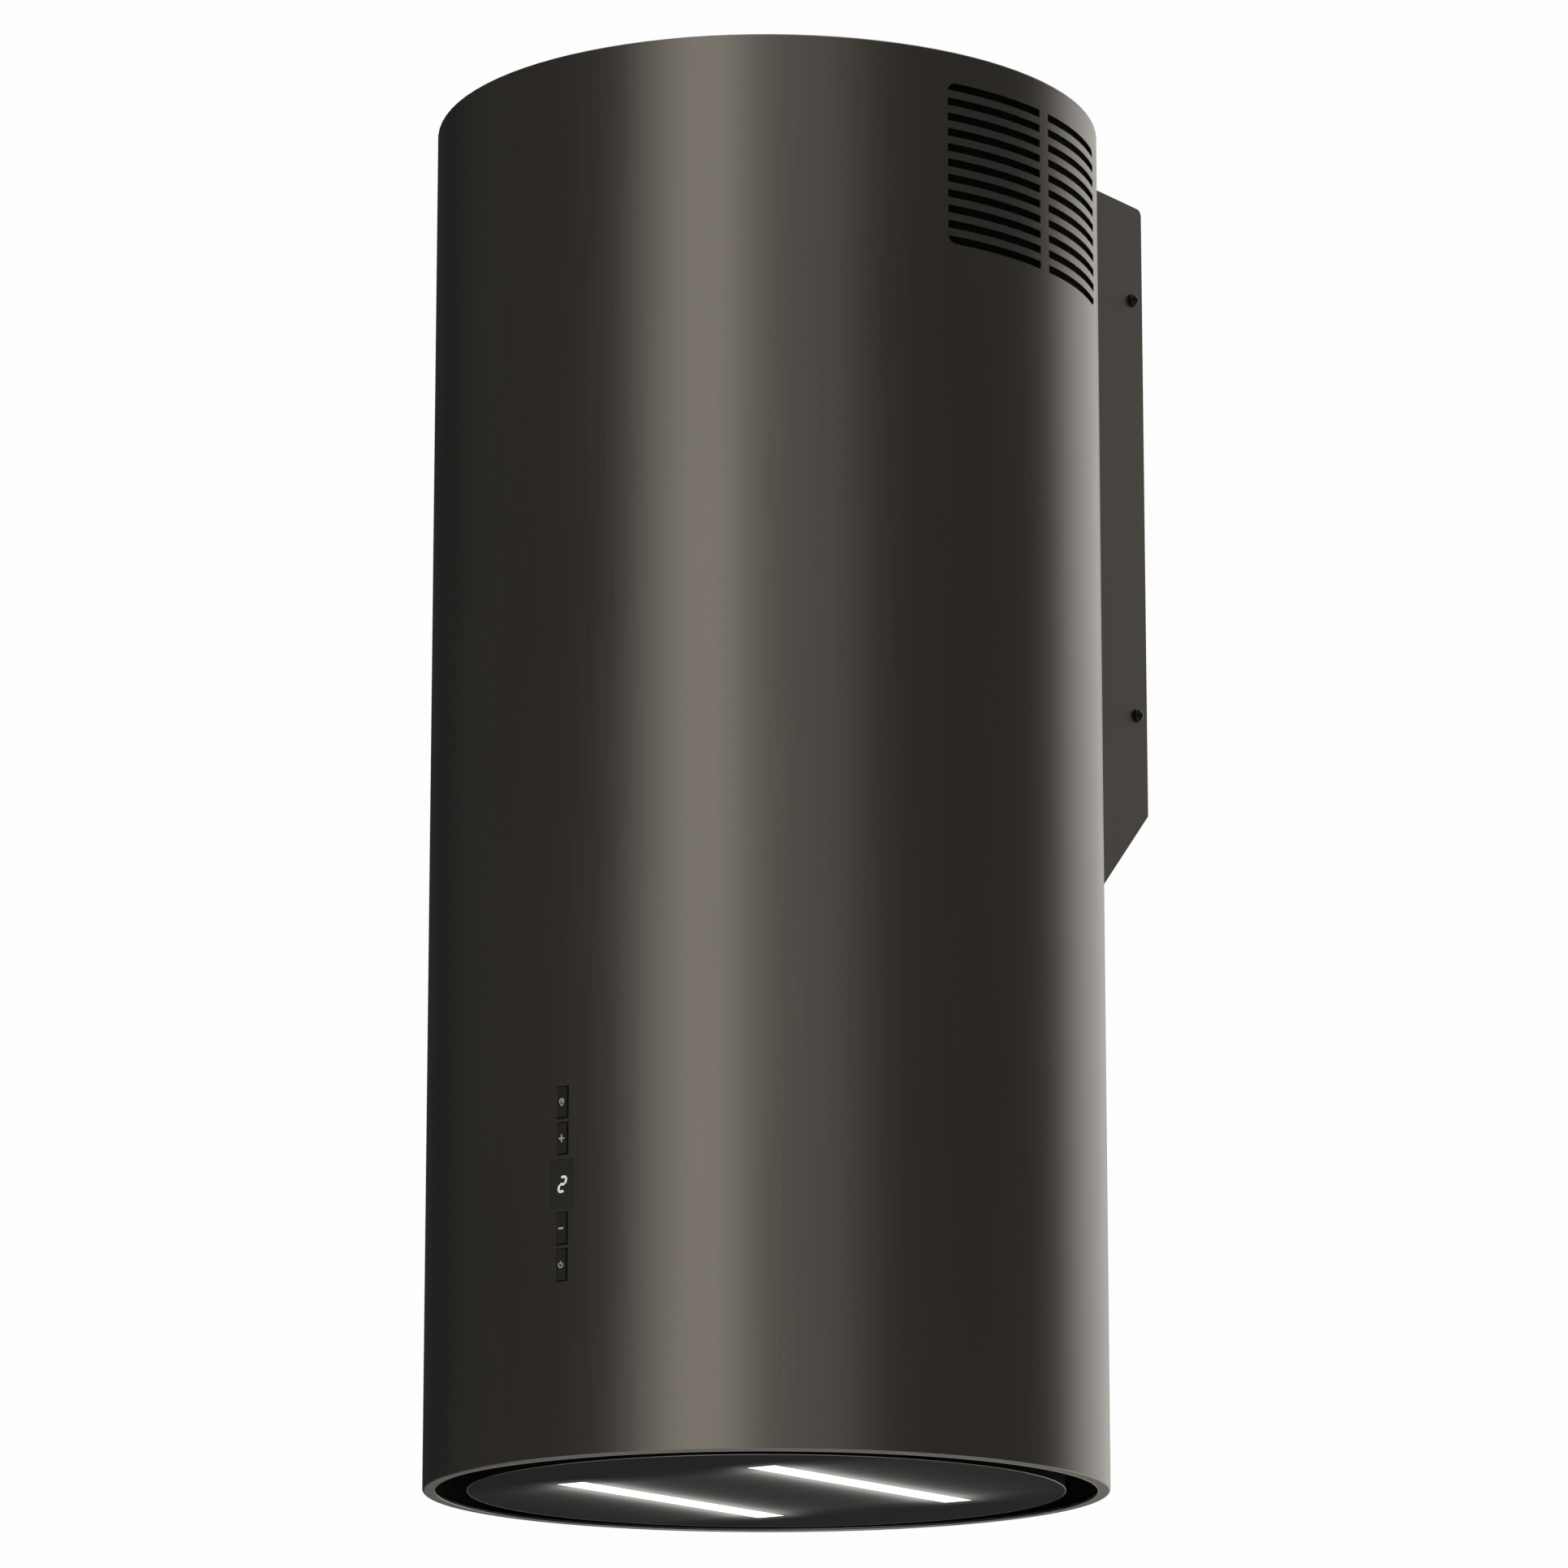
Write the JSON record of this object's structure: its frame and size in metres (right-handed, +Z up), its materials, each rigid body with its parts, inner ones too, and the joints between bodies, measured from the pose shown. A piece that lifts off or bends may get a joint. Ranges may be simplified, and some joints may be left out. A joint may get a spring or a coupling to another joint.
{
  "type": "cylinder range hood",
  "caption": "Wall-hung cylinder extractor hood: tall tube, ring suction gap, hinged light panel, side grilles, key column and rear bracket box.",
  "frame": {"origin": "middle of the wall plate's rear face, where the hood meets the wall", "axes": "+Y into the wall, +Z up along the tube, controls and front facing -Y"},
  "size_m": [0.39, 0.4379, 0.8046],
  "materials": {
    "tube_graphite": "dark satin graphite, vertical grain",
    "rim_graphite": "dark satin graphite",
    "panel_black": "satin black",
    "pan_black": "matt black",
    "zinc": "zinc-coated sheet",
    "bright_steel": "bright steel",
    "black_screw": "black zinc",
    "aluminium": "matt anodised",
    "filter_mesh": "expanded mesh",
    "diffuser": "opal, lit from behind",
    "led_board": "white board",
    "rubber": "black rubber",
    "foam": "grey foam",
    "black_plastic": "moulded black",
    "fan_plastic": "moulded dark grey",
    "motor_paint": "grey paint",
    "gauze_black": "fine black gauze",
    "charcoal": "cage with charcoal",
    "key_face": "satin dark key",
    "smoked_window": "smoked, glossy",
    "display_block": "black display body",
    "circuit_board": "green lacquer",
    "light_plastic": "light grey moulded",
    "switch_body": "moulded",
    "magnet_white": "white moulded catch"
  },
  "bodies": {
    "hood": {"outer_tube": "tube_graphite", "rim_ring": "rim_graphite", "top_lid": "rim_graphite", "lid_screws": "bright_steel", "cable_grommet": "rubber", "bracket_box": "tube_graphite", "wall_plate": "zinc", "side_screws": "black_screw", "stiffener_plates": "zinc", "bracket_bolts": "bright_steel", "intake_pan": "pan_black", "filter_holders": "zinc", "filter_frame": "aluminium", "filter_mesh": "filter_mesh", "latch_spring": "bright_steel", "magnet_catches": "magnet_white", "hinge_brackets": "zinc", "partition_deck": "zinc", "deck_seal": "foam", "deck_tabs": "zinc", "deck_screws": "bright_steel", "scroll_left": "zinc", "scroll_right": "zinc", "inlet_rings": "fan_plastic", "grille_screens": "gauze_black", "motor": "motor_paint", "motor_bracket": "zinc", "motor_bushes": "rubber", "charcoal_filter_left": "charcoal", "charcoal_filter_right": "charcoal", "outlet_transition": "zinc", "outlet_collar": "fan_plastic", "damper_spindle": "bright_steel", "control_carrier": "black_plastic", "control_board": "circuit_board", "key_switches": "switch_body", "display_block": "display_block", "display_window": "smoked_window", "electronics_box": "light_plastic", "electronics_lid": "light_plastic", "main_board": "circuit_board", "motor_capacitor": "light_plastic", "led_driver": "light_plastic"},
    "panel": {"bottom_panel": "panel_black", "hinge_leaves": "zinc", "hinge_pins": "bright_steel", "striker_plates": "bright_steel", "led_channels": "aluminium", "led_strips": "led_board", "diffuser_left": "diffuser", "diffuser_right": "diffuser"},
    "fan": {"impeller": "fan_plastic", "fan_shaft": "bright_steel"},
    "flap_front": {"flap_front": "aluminium"},
    "flap_rear": {"flap_rear": "aluminium"},
    "filter_latch": {"filter_latch": "black_plastic"},
    "key_light": {"key_light": "key_face"},
    "key_plus": {"key_plus": "key_face"},
    "key_minus": {"key_minus": "key_face"},
    "key_power": {"key_power": "key_face"}
  },
  "joints": [
    {"name": "panel_hinge", "type": "hinge", "parent": "hood", "child": "panel", "pos_m": [0, -0.092, -0.605], "axis": [1, 0, 0], "range_deg": [0, 90]},
    {"name": "fan_spin", "type": "hinge", "parent": "hood", "child": "fan", "pos_m": [0, -0.18, -0.313], "axis": [1, 0, 0], "continuous": true},
    {"name": "flap_front_hinge", "type": "hinge", "parent": "hood", "child": "flap_front", "pos_m": [0, -0.242, -0.115], "axis": [-1, 0, 0], "range_deg": [0, 80]},
    {"name": "flap_rear_hinge", "type": "hinge", "parent": "hood", "child": "flap_rear", "pos_m": [0, -0.242, -0.115], "axis": [1, 0, 0], "range_deg": [0, 80]},
    {"name": "latch_slide", "type": "slide", "parent": "hood", "child": "filter_latch", "axis": [0, 1, 0], "range_m": [0, 0.008], "stiffness_N_per_m": 350, "deforming": ["latch_spring"]},
    {"name": "key_light_press", "type": "slide", "parent": "hood", "child": "key_light", "axis": [0, 1, 0], "range_m": [0, 0.0012], "stiffness_N_per_m": 900},
    {"name": "key_plus_press", "type": "slide", "parent": "hood", "child": "key_plus", "axis": [0, 1, 0], "range_m": [0, 0.0012], "stiffness_N_per_m": 900},
    {"name": "key_minus_press", "type": "slide", "parent": "hood", "child": "key_minus", "axis": [0, 1, 0], "range_m": [0, 0.0012], "stiffness_N_per_m": 900},
    {"name": "key_power_press", "type": "slide", "parent": "hood", "child": "key_power", "axis": [0, 1, 0], "range_m": [0, 0.0012], "stiffness_N_per_m": 900}
  ]
}
